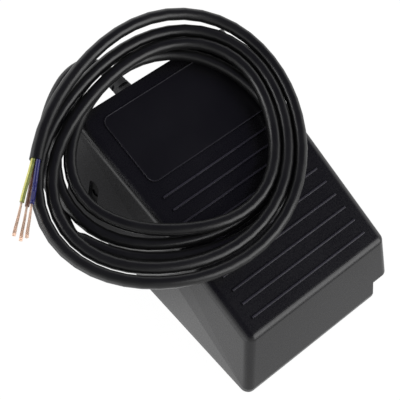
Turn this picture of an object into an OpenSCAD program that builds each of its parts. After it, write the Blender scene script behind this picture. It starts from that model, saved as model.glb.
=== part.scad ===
// Foot switch: a ribbed wedge pedal that rocks on a pin near its heel and presses a snap
// switch inside, with three core cable coiled on top. Millimetres. Front is -Y, floor is z = 0.

/* [Pedal] */
// Width across the top at the front edge
pedal_width = 86; // [80:1:96]
// Length of the top from its front edge to its rear edge
pedal_length = 120; // [116:1:130]
// Height of the front wall
front_height = 34; // [32:1:40]
// Slope of the front part of the top, degrees
front_slope = 17.2; // [16:0.2:19]
// Slope of the rear part of the top, degrees
rear_slope = 11.3; // [10:0.1:13]
// Distance from the bend in the top to the rear edge
rear_length = 60; // [55:1:65]
// How far the front wall leans out at its foot
front_lean = 9; // [7:0.5:11]
// How far each side wall leans out at its foot
side_lean = 3; // [2:0.5:5]
// How much wider each side is at the rear than at the front
rear_spread = 1.8; // [0:0.2:3]
// Thickness of the pedal's walls
wall = 2.5; // [2:0.1:3]
// Radius of the top edges
edge_radius = 4.5; // [2.5:0.5:5]
// Radius of the upright corners
corner_radius = 4; // [3:0.5:6]

/* [Grip ribs and label] */
// Number of ribs across the top
rib_count = 10; // [6:1:10]
// Distance from the front edge to the first rib
rib_start = 8.3; // [7:0.1:9]
// Width of a rib
rib_width = 1.1; // [0.8:0.1:1.6]
// Height of a rib above the top
rib_height = 0.6; // [0.6:0.1:0.8]
// Length of a rib and width of the label plate
rib_length = 70; // [60:1:72]
// Length of the blank label plate
plate_length = 37; // [30:1:38]
// Thickness of the blank label plate
plate_thickness = 0.6; // [0.4:0.1:0.6]
// Distance from the label plate to the rear edge
plate_margin = 6; // [4:0.5:8]

/* [Corner cut-out] */
// Width of the cut-out at the foot of the right front corner
notch_width = 11; // [8:1:13]
// Height of the cut-out
notch_height = 10; // [6:1:12]
// How far the cut-out runs back along the side
notch_depth = 14; // [10:1:18]

/* [Movement] */
// Gap between the floor and the foot of the pedal when it is up
floor_gap = 5; // [5:0.5:7]
// How far the pedal tips when it is pressed, degrees
press_angle = 2.2; // [1.8:0.1:2.2]
// Distance from the rear edge of the pedal to its pin
pin_from_rear = 17.3; // [16:0.1:19]
// Height of the pin above the floor
pin_height = 31; // [30:0.5:32]
// Diameter of the pin
pin_diameter = 4; // [3:0.5:5]
// Height of the pocket around each end of the pin
pocket_height = 19; // [12:1:20]
// Width of the pocket
pocket_width = 6.4; // [6:0.1:8]
// Depth of the pocket
pocket_depth = 1; // [0.6:0.1:1.2]

/* [Base tray] */
// Height of the rubber feet
foot_height = 2.5; // [2:0.5:3]
// Diameter of the rubber feet
foot_diameter = 12; // [10:1:14]
// Thickness of the tray's floor and rim
tray_wall = 2.5; // [2:0.1:3]
// Height of the rim above the tray's floor
rim_height = 9; // [6:1:11]
// Space between the tray's rim and the pedal's side wall at its foot
tray_gap = 2; // [1.5:0.1:3]
// How far the tray's front stands back from the foot of the front wall
tray_inset = 8.5; // [8:0.5:12]
// Diameter of the two floor fixing holes
fixing_hole = 4.5; // [3.5:0.5:5]
// Distance between the fixing holes, across
fixing_spacing = 60; // [50:1:62]

/* [Switch] */
// Length of the snap switch
switch_length = 27.8; // [27:0.1:28.5]
// Height of the snap switch
switch_height = 15.9; // [15:0.1:17]
// Thickness of the snap switch
switch_thickness = 10.3; // [9.5:0.1:11]
// Distance between its two mounting holes
switch_hole_spacing = 22.2; // [21:0.1:23]
// Diameter of its mounting holes
switch_hole = 3.1; // [2.8:0.1:3.4]
// Length of the lever from its hinge to its tip
lever_length = 24; // [22:0.5:26]

/* [Spring] */
// Mean diameter of the return spring
spring_diameter = 11; // [9:0.5:13]
// Diameter of the spring wire
spring_wire = 1.2; // [0.8:0.1:1.6]
// Turns of the spring
spring_turns = 6; // [5:1:8]

/* [Cable] */
// Diameter of the cable's sheath
cable_diameter = 5.6; // [5:0.1:6]
// Diameter of one insulated core
core_diameter = 1.9; // [1.6:0.1:2.2]
// Diameter of the bare copper of one core
copper_diameter = 1.2; // [0.8:0.1:1.4]
// Length of insulated core past the end of the sheath
core_length = 20; // [14:1:26]
// Length of bare copper
copper_length = 15; // [8:1:18]
// Length of the strain relief outside the rear wall
boot_length = 19.5; // [18:0.5:20]
// Diameter of the strain relief at the wall
boot_diameter = 9; // [8:0.5:10]

/* [Coil] */
// Radius of the innermost turn
coil_inner_radius = 47.6; // [47:0.2:49]
// Distance from one turn to the next
coil_pitch = 6.3; // [6.25:0.05:6.5]
// Height from the lower layer to the upper layer
layer_rise = 6.4; // [6.3:0.1:7]
// How much wider the upper turns are wound
upper_growth = 6.1; // [6:0.1:7]
// How far the upper turns lie to the left of the lower ones
upper_left = 5.2; // [4.8:0.1:5.3]
// How far the upper turns lie to the front of the lower ones
upper_front = 4.7; // [4.4:0.1:4.8]
// How far the end of the cable tucks in, over the turn below it
end_tuck = 7; // [0:0.5:7]
// Height that the end of the cable climbs as it tucks in
end_climb = 6.2; // [6.2:0.1:7]
// How much less the radius of the lower turns is the short way
lower_flat = 9.5; // [9:0.1:10]
// How much less the radius of the upper turns is the short way
upper_flat = 15.1; // [14.5:0.1:15.5]

/* [Hidden] */
$fn = 48;

// Clearances
seat_gap = 0.3;
running_gap = 0.06;
face_gap = 0.1;
overrun = 1;

// Pedal places
rear_y = (pedal_length + front_lean) / 2;
front_top_y = rear_y - pedal_length;
front_foot_y = -rear_y;
crest_distance = pedal_length - rear_length;
rib_field = pedal_length - plate_margin - plate_length - rib_start;
rib_pitch = rib_field / rib_count;
half_top = pedal_width / 2;
half_foot = half_top + side_lean;
pin_y = rear_y - pin_from_rear;
function top_z(d) = floor_gap + front_height + min(d, crest_distance) * tan(front_slope)
    + max(0, d - crest_distance) * tan(rear_slope);
function slope_at(d) = d < crest_distance ? front_slope : rear_slope;
function roof_z(d) = top_z(d) - wall / cos(slope_at(d));
function half_at(d) = half_top + rear_spread * d / pedal_length;
function from_front(y) = y - front_top_y;

// Tray places
tray_half = half_foot - wall - tray_gap;
tray_front_y = front_foot_y + tray_inset;
tray_floor_z = foot_height + tray_wall;
tray_corner = 10;
foot_recess = 1;
foot_margin = 3.5;
foot_inset = foot_diameter / 2 + foot_margin;
foot_side_margin = 3;
foot_front_margin = 2;
rear_wall_inset = 1;
rear_wall_y = rear_y - tray_wall - rear_wall_inset;
rear_wall_gap = 0.8;

// Pivot places
boss_radius = 7;
boss_height = 6;
boss_face_x = half_foot - boss_height;
cheek_gap = 0.5;
cheek_thickness = 4;
cheek_face_x = boss_face_x - cheek_gap;
cheek_half_depth = 6;
cheek_over_pin = 6;
cheek_top_z = pin_height + cheek_over_pin;
pin_end_inset = 2.2;
pin_half_length = half_foot - pin_end_inset;
clip_thickness = 0.8;
clip_ring = 2.4;
clip_radius = pin_diameter / 2 + clip_ring;
groove_depth = 0.4;
clip_gap = 0.15;

// Return spring places
spring_from_front = 20;
spring_seat_height = 3;
spring_collar_height = 8;
spring_play = 0.5;
spring_y = front_top_y + spring_from_front;
spring_seat_z = tray_floor_z + spring_seat_height;
spring_top_z = roof_z(from_front(spring_y)) - spring_collar_height;
spring_post_radius = (spring_diameter - spring_wire) / 2 - spring_play;
spring_collar_radius = spring_diameter / 2 + spring_wire;
spring_spigot = 4;
spring_sides = 6;
spring_rings = 8;

// Stop pads, which the roof meets when the pedal is pressed
pad_x = 26;
pad_from_front = 9;
pad_y = front_top_y + pad_from_front;
pad_radius = 4;
pad_thickness = 3;
pad_post_radius = 5;
pad_front = from_front(pad_y - pad_radius);
pad_travel = (pin_y - pad_y + pad_radius) * sin(press_angle)
    + (roof_z(pad_front) - pin_height) * sin(press_angle) * tan(front_slope);
pad_top_z = roof_z(pad_front) - pad_travel - seat_gap;

// Snap switch places
switch_x = 11;
switch_front_from_pin = 69;
switch_below_roof = 6.9;
switch_front_y = pin_y - switch_front_from_pin;
switch_rear_y = switch_front_y + switch_length;
switch_top_z = roof_z(from_front(switch_front_y)) - switch_below_roof;
switch_bottom_z = switch_top_z - switch_height;
switch_side_x = switch_x + switch_thickness / 2;
switch_near_x = switch_x - switch_thickness / 2;
cover_thickness = 2.8;
cover_groove = 0.3;
body_near_x = switch_near_x + cover_thickness + running_gap;
lever_x = (body_near_x + switch_side_x) / 2;
switch_hole_lift = 4;
switch_hole_z = switch_bottom_z + switch_hole_lift;
switch_hole_front = switch_front_y + (switch_length - switch_hole_spacing) / 2;
bracket_thickness = 3.5;
bracket_margin = 2;
bracket_below_top = 4;
lever_width = 4;
lever_thickness = 0.5;
lever_rise = 8.2;
lever_hinge_inset = 3;
lever_hinge_lift = 1.6;
lever_hinge_y = switch_rear_y - lever_hinge_inset;
lever_hinge_z = switch_top_z + lever_hinge_lift;
lever_barrel = 0.6;
ear_thickness = 1.1;
ear_x = lever_width / 2 + seat_gap + ear_thickness / 2;
ear_width = 2.6;
ear_height = 2.8;
ear_root = 0.5;
plunger_width = 3;
plunger_from_hinge = 8.5;
plunger_depth = 5;
plunger_room = 1.5;
plunger_gap = 0.15;
plunger_y = lever_hinge_y - plunger_from_hinge;
plunger_top_z = lever_hinge_z + (plunger_from_hinge - plunger_width / 2) * tan(lever_rise)
    - lever_thickness / 2 / cos(lever_rise) - plunger_gap;
striker_from_hinge = 17.5;
striker_y = lever_hinge_y - striker_from_hinge;
striker_radius = 1.6;
striker_width = 3.6;
striker_z = lever_hinge_z + striker_from_hinge * tan(lever_rise)
    + (lever_thickness / 2 + seat_gap + striker_radius) / cos(lever_rise);
terminal_width = 6.3;
terminal_thickness = 0.8;
terminal_reach = 8;
terminal_root = 3;
terminal_lift = 10;
terminal_z = switch_bottom_z + terminal_lift;
open_from_front = 4.5;
closed_from_front = 13.5;
open_y = switch_front_y + open_from_front;
closed_y = switch_front_y + closed_from_front;
connector_width = 7.4;
connector_thickness = 4.4;
connector_length = 13;
connector_short = 11.4;
connector_cover = 7.4;
connector_neck = 3.4;
connector_stand_off = 1;
connector_brown_y = switch_rear_y + connector_stand_off + connector_length;
connector_blue_z = switch_bottom_z - connector_stand_off - connector_short;

// Screws
screw_radius = 1.4;
screw_head_radius = 2.8;
screw_head_height = 1.8;
screw_slot = 0.7;
screw_bite = 6;

// Cable entry places
entry_x = -10;
entry_below_top = 12.4;
entry_z = top_z(from_front(rear_wall_y)) - entry_below_top;
cable_radius = cable_diameter / 2;
boot_flange_ring = 2;
boot_flange_radius = boot_diameter / 2 + boot_flange_ring;
boot_flange = 1.6;
boot_neck_step = 0.8;
boot_neck_radius = boot_diameter / 2 - boot_neck_step;
boot_inner_radius = boot_neck_radius + boot_flange;
boot_tip_wall = 1;
boot_tip_radius = cable_radius + boot_tip_wall;
boot_round = 0.6;
boot_tip_y = rear_wall_y + tray_wall + boot_length;
boot_groove_count = 4;
boot_groove = 1.4;
boot_groove_start = 5;
boot_core_wall = 0.4;
entry_inside = 16;
entry_end_y = rear_wall_y - entry_inside;
shelf_half = 12.5;
shelf_depth = 11;
shelf_height = 5;
clamp_width = 8;
clamp_height = 2.4;
clamp_gap = 0.2;
clamp_screw_x = 8.6;
clamp_y = rear_wall_y - boot_flange - 2 * seat_gap - clamp_width / 2;
screw_hole_spare = 0.5;

// Leads inside the pedal
lead_start_y = entry_end_y;
core_gap = 0.25;
core_spread = core_diameter / 2 + core_gap;
core_drop = 0.6;
core_lift = 1.1;
core_play = 0.2;
lead_straight = 2.4;
lead_stand_off = 0.6;

// Free ends of the cores
end_core_gap = 0.15;
end_spread = core_diameter / sqrt(3) + end_core_gap;
end_flare_share = 0.9;
copper_flare_share = 0.5;

// Earth terminal places
earth_x = -24;
earth_y = 4;
earth_width = 9;
earth_length = 12;
earth_height = 10;
earth_bore_play = 0.4;
earth_bore = core_diameter / 2 + earth_bore_play;
earth_screw_inset = 2;
earth_bore_z = tray_floor_z + earth_height / 2;

// Coil places
turns_in = 2;
turns_out = 2.84;
climb_share = 0.5;
settle_share = 0.4;
tuck_from = 4.5;
tuck_share = 0.5;
tuck_climb_from = 4.45;
tuck_climb_share = 0.25;
coil_x = -17.1;
coil_y = 29.7;
coil_start_angle = 200;
lower_turn = -4;
upper_turn = 13.1;
coil_corner = 1.5;
lower_bulge = -0.4;
upper_bulge = 1.1;
rings_per_turn = 24;
coil_sides = 6;
coil_turns = turns_in + turns_out;
coil_extra_slope = 0.017;
coil_slope = tan(rear_slope) + coil_extra_slope;
coil_lift_y = front_top_y + crest_distance;
coil_lift_z = top_z(crest_distance) + rib_height + seat_gap + cable_radius / cos(rear_slope);

// Cable from the strain relief to the coil, points chosen by hand
run_route = [
    [-12, 90, 56.6], [-19, 93, 57], [-30, 90.5, 57.5], [-44, 82, 58], [-58, 69, 59],
    [-68, 54, 60.5], [-74, 38, 62]
];

// Leads inside, points chosen by hand, the first two from the cable's end and the rest
// from the piece that the lead goes to
brown_from = [[3.5, -7, -3.5], [10, -11, -14.5]];
brown_to = [[-5.4, 11, 6], [-0.9, 7.5, 1]];
blue_from = [[0.5, -7, -6.5], [1.5, -13, -20]];
blue_to = [[-15.4, 41.3, 9], [-10.4, 27.3, 0], [-7.4, 13.3, -3], [-3.4, 5.3, -3.4]];
earth_from = [[-3.5, -7, -3], [-8, -13, -16.5]];
earth_to = [[2, 16, 15], [0, 10, 4]];

// A blend from 0 to 1
function blend(t) = let(u = max(0, min(1, t))) u * u * (3 - 2 * u);

// The middle of the cable in the coil, by turns from its start. The lower layer winds
// inward, the cable climbs where it turns back, the upper layer winds outward, and the
// end tucks in over the turn below it.
function settled(t) = blend((t - turns_in) / settle_share);
function between(low, high, t) = low + (high - low) * settled(t);
function coil_radius(t, a) = coil_inner_radius + coil_pitch * abs(t - turns_in)
    + between(0, upper_growth, t) - end_tuck * blend((t - tuck_from) / tuck_share)
    - coil_corner * cos(3 * a) + between(lower_bulge, upper_bulge, t) * sin(3 * a);
function coil_point(t) = let(
        a = coil_start_angle + 360 * t,
        turn = between(lower_turn, upper_turn, t),
        radius = coil_radius(t, a),
        u = radius * cos(a - turn),
        v = (radius - between(lower_flat, upper_flat, t)) * sin(a - turn),
        x = coil_x - between(0, upper_left, t) + u * cos(turn) - v * sin(turn),
        y = coil_y - between(0, upper_front, t) + u * sin(turn) + v * cos(turn),
        climb = layer_rise * blend((t - turns_in) / climb_share + 0.5)
            + end_climb * blend((t - tuck_climb_from) / tuck_climb_share)
    ) [x, y, coil_lift_z + coil_slope * (y - coil_lift_y) + climb];
function unit(v) = v / norm(v);
function coil_way(t) = unit(coil_point(t + 0.001) - coil_point(t - 0.001));
coil_steps = round(coil_turns * rings_per_turn);
coil_path = concat(
    [coil_point(0) - coil_way(0) * cable_diameter],
    [for (i = [0 : coil_steps]) coil_point(coil_turns * i / coil_steps)],
    [coil_point(coil_turns) + coil_way(coil_turns) * cable_diameter]
);
coil_begin = coil_path[0];
coil_end = coil_path[len(coil_path) - 1];

// A smooth curve through the points of a route
function curve_part(a, b, c, d, t) = 0.5 * (2 * b + (c - a) * t
    + (2 * a - 5 * b + 4 * c - d) * t * t + (3 * b - a - 3 * c + d) * t * t * t);
function curve(p, steps) = let(n = len(p) - 1) concat(
    [for (i = [0 : n - 1], s = [0 : steps - 1])
        curve_part(p[max(0, i - 1)], p[i], p[i + 1], p[min(n, i + 2)], s / steps)],
    [p[n]]
);

// A tube along points, its rings square to the way it runs
function way_at(p, i) = unit(p[min(len(p) - 1, i + 1)] - p[max(0, i - 1)]);
function across(way) = unit(cross(way, abs(way[2]) > 0.9 ? [1, 0, 0] : [0, 0, 1]));
module tube(p, radius, sides) {
    rings = len(p);
    points = [for (i = [0 : rings - 1]) let(way = way_at(p, i), side = across(way), rise = cross(side, way))
        for (k = [0 : sides - 1]) let(turn = 360 * k / sides)
            p[i] + radius * (cos(turn) * side + sin(turn) * rise)];
    last = (rings - 1) * sides;
    walls = [for (i = [0 : rings - 2], k = [0 : sides - 1])
        let(a = i * sides + k, b = i * sides + (k + 1) % sides)
        each [[a, b, b + sides], [a, b + sides, a + sides]]];
    start = [for (k = [1 : sides - 2]) [0, k + 1, k]];
    end = [for (k = [1 : sides - 2]) [last, last + k, last + k + 1]];
    polyhedron(points = points, faces = concat(walls, start, end), convexity = 20);
}

// The least distance between turns of the coil, surface to surface
gap_steps = rings_per_turn * 2;
gap_points = [for (i = [0 : round(coil_turns * gap_steps)]) coil_point(i / gap_steps)];
least_gap = min([for (i = [0 : len(gap_points) - 1], j = [i + gap_steps / 2 : 1 : len(gap_points) - 1])
    norm(gap_points[i] - gap_points[j])]) - cable_diameter;
echo(least_gap = least_gap);

module rounded_plate(width, length, radius, thickness) {
    linear_extrude(thickness)
        offset(radius)
            square([width - 2 * radius, length - 2 * radius], center = true);
}

// A pan head screw that points down, its head's seat at z = 0
module screw(length) {
    difference() {
        union() {
            cylinder(r = screw_head_radius, h = screw_head_height);
            translate([0, 0, -length])
                cylinder(r = screw_radius, h = length + overrun);
        }
        translate([-screw_head_radius - overrun, -screw_slot / 2, screw_head_height / 2])
            cube([2 * (screw_head_radius + overrun), screw_slot, screw_head_height]);
    }
}

// Outer shape of the pedal, open past its rear edge
module pedal_outer() {
    hull() {
        for (side = [-1, 1]) {
            for (d = [edge_radius, crest_distance, pedal_length + edge_radius])
                translate([side * (half_at(d) - edge_radius), front_top_y + d,
                    top_z(d) - edge_radius / cos(slope_at(d))])
                    sphere(r = edge_radius, $fn = 48);
            for (y = [front_foot_y + corner_radius, rear_y + corner_radius])
                translate([side * (half_foot - corner_radius), y, floor_gap])
                    cylinder(r = corner_radius, h = wall, $fn = 32);
        }
    }
}

// Hollow of the pedal
module pedal_inner() {
    hull() {
        for (side = [-1, 1]) {
            for (d = [wall, crest_distance, pedal_length + 3 * edge_radius])
                translate([side * (half_at(d) - wall - overrun), front_top_y + d + overrun,
                    roof_z(d + overrun) - overrun / cos(slope_at(d))])
                    sphere(r = overrun, $fn = 16);
            for (y = [front_foot_y + wall + overrun, rear_y + 3 * edge_radius])
                translate([side * (half_foot - wall - overrun), y, floor_gap - overrun])
                    cylinder(r = overrun, h = overrun, $fn = 16);
        }
    }
}

module pin_line(radius, half_length) {
    translate([-half_length, pin_y, pin_height])
        rotate([0, 90, 0])
            cylinder(r = radius, h = 2 * half_length);
}

// Upright slot shape in a side wall
module pocket(depth_from, depth_to) {
    reach = (pocket_height - pocket_width) / 2;
    translate([depth_from, pin_y, pin_height])
        rotate([0, 90, 0])
            linear_extrude(depth_to - depth_from)
                union() {
                    square([2 * reach, pocket_width], center = true);
                    for (end = [-1, 1])
                        translate([end * reach, 0])
                            circle(d = pocket_width);
                }
}

module grip_ribs() {
    for (i = [0 : rib_count - 1]) {
        d = rib_start + i * rib_pitch;
        translate([0, front_top_y + d, top_z(d)])
            rotate([slope_at(d), 0, 0])
                translate([-rib_length / 2, -rib_width / 2, -wall / 2])
                    cube([rib_length, rib_width, wall / 2 + rib_height]);
    }
}

// Rib under the roof that presses the switch lever
module striker() {
    translate([lever_x - striker_width / 2, striker_y, striker_z])
        rotate([0, 90, 0])
            cylinder(r = striker_radius, h = striker_width);
    translate([lever_x - striker_width / 2, striker_y - striker_radius, striker_z])
        cube([striker_width, 2 * striker_radius,
            roof_z(from_front(striker_y - striker_radius)) - striker_z + wall / 2]);
}

// Post under the roof that holds the top of the return spring
module spring_post() {
    translate([0, spring_y, spring_top_z - spring_spigot])
        cylinder(r = spring_post_radius, h = spring_spigot + overrun);
    translate([0, spring_y, spring_top_z])
        cylinder(r = spring_collar_radius,
            h = roof_z(from_front(spring_y - spring_collar_radius)) - spring_top_z + wall / 2);
}

module pedal() {
    color("#1b1b20")
        difference() {
            union() {
                difference() {
                    pedal_outer();
                    pedal_inner();
                }
                intersection() {
                    pedal_outer();
                    for (side = [-1, 1])
                        translate([side > 0 ? boss_face_x : -half_foot, pin_y, pin_height])
                            rotate([0, 90, 0])
                                cylinder(r = boss_radius, h = half_foot - boss_face_x);
                }
                grip_ribs();
                striker();
                spring_post();
            }
            translate([-half_foot - overrun, rear_y, 0])
                cube([2 * (half_foot + overrun), 4 * corner_radius, 2 * top_z(pedal_length)]);
            translate([half_foot - notch_width, front_foot_y - overrun, floor_gap - overrun])
                cube([notch_width + overrun, notch_depth + overrun, notch_height + overrun]);
            pin_line(pin_diameter / 2 + running_gap, half_foot + overrun);
            pocket(pocket_outer_x - pocket_depth, half_foot + overrun);
            mirror([1, 0, 0])
                pocket(pocket_outer_x - pocket_depth, half_foot + overrun);
        }
}
pocket_outer_x = half_foot - (half_foot - half_at(from_front(pin_y))) * (pin_height - floor_gap)
    / (top_z(from_front(pin_y)) - floor_gap);

module label_plate() {
    d = pedal_length - plate_length / 2 - plate_margin;
    color("#232329")
        translate([0, front_top_y + d, top_z(d)])
            rotate([rear_slope, 0, 0])
                rounded_plate(rib_length, plate_length, corner_radius, plate_thickness);
}

module pivot_pin() {
    color("silver")
        difference() {
            pin_line(pin_diameter / 2, pin_half_length);
            for (side = [-1, 1])
                clip_groove(side);
        }
}

clip_x = cheek_face_x - cheek_thickness - clip_thickness / 2 - clip_gap;

module clip_groove(side) {
    translate([side * clip_x - clip_thickness / 2 - running_gap, pin_y, pin_height])
        rotate([0, 90, 0])
            difference() {
                cylinder(r = pin_diameter, h = clip_thickness + 2 * running_gap);
                cylinder(r = pin_diameter / 2 - groove_depth, h = clip_thickness + 2 * running_gap);
            }
}

module pin_clips() {
    color("silver")
        for (side = [-1, 1])
            translate([side * clip_x - clip_thickness / 2, pin_y, pin_height])
                rotate([0, 90, 0])
                    difference() {
                        cylinder(r = clip_radius, h = clip_thickness);
                        translate([0, 0, -overrun])
                            cylinder(r = pin_diameter / 2 - groove_depth + running_gap,
                                h = clip_thickness + 2 * overrun);
                        translate([0, -pin_diameter / 2 + groove_depth, -overrun])
                            cube([clip_radius + overrun, pin_diameter - 2 * groove_depth,
                                clip_thickness + 2 * overrun]);
                    }
}

module return_spring() {
    steps = spring_turns * spring_rings;
    low = spring_seat_z + spring_wire / 2 + face_gap;
    high = spring_top_z - spring_wire / 2 - face_gap;
    path = [for (i = [0 : steps]) [spring_diameter / 2 * cos(360 * i / spring_rings),
        spring_y + spring_diameter / 2 * sin(360 * i / spring_rings),
        low + (high - low) * i / steps]];
    color("silver")
        tube(path, spring_wire / 2, spring_sides);
}

module stop_pad(side) {
    color("#3a3a3a")
        translate([side * pad_x, pad_y, pad_top_z - pad_thickness])
            cylinder(r = pad_radius, h = pad_thickness);
}
module stop_pad_left() { stop_pad(-1); }
module stop_pad_right() { stop_pad(1); }

foot_x = tray_half - foot_inset - foot_side_margin;
foot_front_y = tray_front_y + foot_inset + foot_front_margin;
foot_rear_y = rear_wall_y - foot_inset;

module foot(x, y) {
    color("#303030")
        translate([x, y, 0])
            cylinder(d = foot_diameter, h = foot_height + foot_recess);
}
module foot_front_left() { foot(-foot_x, foot_front_y); }
module foot_front_right() { foot(foot_x, foot_front_y); }
module foot_rear_left() { foot(-foot_x, foot_rear_y); }
module foot_rear_right() { foot(foot_x, foot_rear_y); }

// Plan of the tray
module tray_plan(inset) {
    length = rear_wall_y + tray_wall - tray_front_y - 2 * inset;
    translate([0, (rear_wall_y + tray_wall + tray_front_y) / 2])
        offset(tray_corner - inset)
            square([2 * (tray_half - tray_corner), length - 2 * (tray_corner - inset)], center = true);
}

// Rear wall, which follows the inside of the pedal's side walls
module rear_wall() {
    d = from_front(rear_wall_y);
    foot_half = half_foot - wall - rear_wall_gap;
    head_half = half_at(d) - wall - rear_wall_gap;
    head_z = roof_z(d) - seat_gap;
    translate([0, rear_wall_y + tray_wall, 0])
        rotate([90, 0, 0])
            linear_extrude(tray_wall)
                polygon([[-foot_half, foot_height], [foot_half, foot_height],
                    [head_half - edge_radius / 2, head_z - edge_radius],
                    [head_half - edge_radius, head_z], [edge_radius - head_half, head_z],
                    [edge_radius / 2 - head_half, head_z - edge_radius]]);
}

module cheek(side) {
    near = cheek_face_x - cheek_thickness;
    translate([side > 0 ? near : -cheek_face_x, pin_y - cheek_half_depth, foot_height])
        cube([cheek_thickness, 2 * cheek_half_depth, cheek_top_z - foot_height]);
}

module base_tray() {
    color("#202024")
        difference() {
            union() {
                translate([0, 0, foot_height])
                    linear_extrude(tray_wall)
                        tray_plan(0);
                translate([0, 0, foot_height])
                    linear_extrude(tray_wall + rim_height)
                        difference() {
                            tray_plan(0);
                            tray_plan(tray_wall);
                        }
                rear_wall();
                cheek(-1);
                cheek(1);
                for (side = [-1, 1])
                    translate([side * pad_x, pad_y, foot_height])
                        cylinder(r = pad_post_radius, h = pad_top_z - pad_thickness - foot_height);
                translate([0, spring_y, foot_height])
                    cylinder(r = spring_post_radius, h = spring_seat_z + spring_spigot - foot_height);
                translate([0, spring_y, foot_height])
                    cylinder(r = spring_collar_radius, h = spring_seat_z - foot_height);
                translate([switch_side_x + face_gap, switch_front_y - bracket_margin, foot_height])
                    cube([bracket_thickness, switch_length + 2 * bracket_margin,
                        switch_top_z - bracket_below_top - foot_height]);
                translate([entry_x - shelf_half, rear_wall_y - shelf_depth,
                    entry_z - cable_radius - shelf_height])
                    cube([2 * shelf_half, shelf_depth + overrun, shelf_height + cable_radius]);
            }
            translate([entry_x, rear_wall_y - shelf_depth - overrun, entry_z])
                rotate([-90, 0, 0])
                    cylinder(r = cable_radius + running_gap, h = shelf_depth + overrun + tray_wall / 2);
            translate([entry_x, rear_wall_y - boot_flange - seat_gap, entry_z])
                rotate([-90, 0, 0])
                    cylinder(r = boot_inner_radius + face_gap, h = boot_flange + seat_gap);
            translate([entry_x, rear_wall_y - overrun / 2, entry_z])
                rotate([-90, 0, 0])
                    cylinder(r = boot_neck_radius + running_gap, h = tray_wall + overrun);
            for (side = [-1, 1])
                translate([entry_x + side * clamp_screw_x, clamp_y, entry_z - screw_bite - screw_hole_spare])
                    cylinder(r = screw_radius + running_gap, h = screw_bite + screw_hole_spare + overrun);
            pin_line(pin_diameter / 2 + running_gap, tray_half);
            for (k = [0, 1])
                translate([switch_side_x, switch_hole_front + k * switch_hole_spacing, switch_hole_z])
                    rotate([0, 90, 0])
                        cylinder(r = screw_radius + running_gap, h = bracket_thickness + overrun);
            for (x = [-foot_x, foot_x], y = [foot_front_y, foot_rear_y])
                translate([x, y, foot_height - overrun])
                    cylinder(d = foot_diameter + 2 * running_gap, h = foot_recess + overrun);
            for (side = [-1, 1])
                translate([side * fixing_spacing / 2, 0, foot_height - overrun])
                    cylinder(d = fixing_hole, h = tray_wall + 2 * overrun);
        }
}

// Snap switch
module switch_block(from_x, thickness) {
    difference() {
        translate([from_x, switch_front_y, switch_bottom_z])
            cube([thickness, switch_length, switch_height]);
        for (k = [0, 1])
            translate([from_x - overrun, switch_hole_front + k * switch_hole_spacing, switch_hole_z])
                rotate([0, 90, 0])
                    cylinder(d = switch_hole, h = thickness + 2 * overrun);
    }
}

module switch_body() {
    color("#2b2b2b")
        difference() {
            union() {
                switch_block(body_near_x, switch_side_x - body_near_x);
                for (side = [-1, 1])
                    translate([lever_x + side * ear_x - ear_thickness / 2,
                        lever_hinge_y - ear_width / 2, switch_top_z - ear_root])
                        cube([ear_thickness, ear_width, ear_height + ear_root]);
            }
            translate([lever_x - plunger_width / 2 - face_gap, plunger_y - plunger_width / 2 - face_gap,
                switch_top_z - plunger_depth - plunger_room])
                cube([plunger_width + 2 * face_gap, plunger_width + 2 * face_gap,
                    plunger_depth + plunger_room + overrun]);
            translate([0, lever_hinge_y, lever_hinge_z])
                rotate([0, 90, 0])
                    cylinder(r = lever_barrel + running_gap, h = 2 * half_foot);
            translate([lever_x - terminal_width / 2 - running_gap, switch_rear_y - terminal_root,
                terminal_z - terminal_thickness / 2 - running_gap])
                cube([terminal_width + 2 * running_gap, terminal_root + overrun,
                    terminal_thickness + 2 * running_gap]);
            for (y = [open_y, closed_y])
                translate([lever_x - terminal_width / 2 - running_gap,
                    y - terminal_thickness / 2 - running_gap, switch_bottom_z - overrun])
                    cube([terminal_width + 2 * running_gap, terminal_thickness + 2 * running_gap,
                        terminal_root + overrun + running_gap]);
        }
}

module switch_cover() {
    color("#3c3c3c")
        difference() {
            switch_block(switch_near_x, cover_thickness);
            translate([switch_near_x - overrun, switch_front_y - overrun,
                switch_bottom_z + switch_height / 2])
                cube([overrun + cover_groove, switch_length + 2 * overrun, switch_height / 4]);
        }
}

module switch_plunger() {
    color("#b03030")
        translate([lever_x - plunger_width / 2, plunger_y - plunger_width / 2, switch_top_z - plunger_depth])
            cube([plunger_width, plunger_width, plunger_top_z - switch_top_z + plunger_depth]);
}

module switch_lever() {
    pin_length = lever_width + ear_thickness + 2 * seat_gap;
    color("silver")
        translate([lever_x, lever_hinge_y, lever_hinge_z])
            union() {
                rotate([-lever_rise, 0, 0])
                    translate([-lever_width / 2, -lever_length, -lever_thickness / 2])
                        cube([lever_width, lever_length, lever_thickness]);
                translate([-pin_length / 2, 0, 0])
                    rotate([0, 90, 0])
                        cylinder(r = lever_barrel, h = pin_length);
            }
}

module terminal_common() {
    color("#c8a860")
        translate([lever_x - terminal_width / 2, switch_rear_y - terminal_root,
            terminal_z - terminal_thickness / 2])
            cube([terminal_width, terminal_root + terminal_reach, terminal_thickness]);
}

module bottom_terminal(y) {
    color("#c8a860")
        translate([lever_x - terminal_width / 2, y - terminal_thickness / 2,
            switch_bottom_z - terminal_reach])
            cube([terminal_width, terminal_thickness, terminal_reach + terminal_root]);
}
module terminal_open() { bottom_terminal(open_y); }
module terminal_closed() { bottom_terminal(closed_y); }

module switch_screws() {
    color("silver")
        for (k = [0, 1])
            translate([switch_near_x, switch_hole_front + k * switch_hole_spacing, switch_hole_z])
                rotate([0, -90, 0])
                    screw(switch_thickness + bracket_thickness);
}

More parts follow.
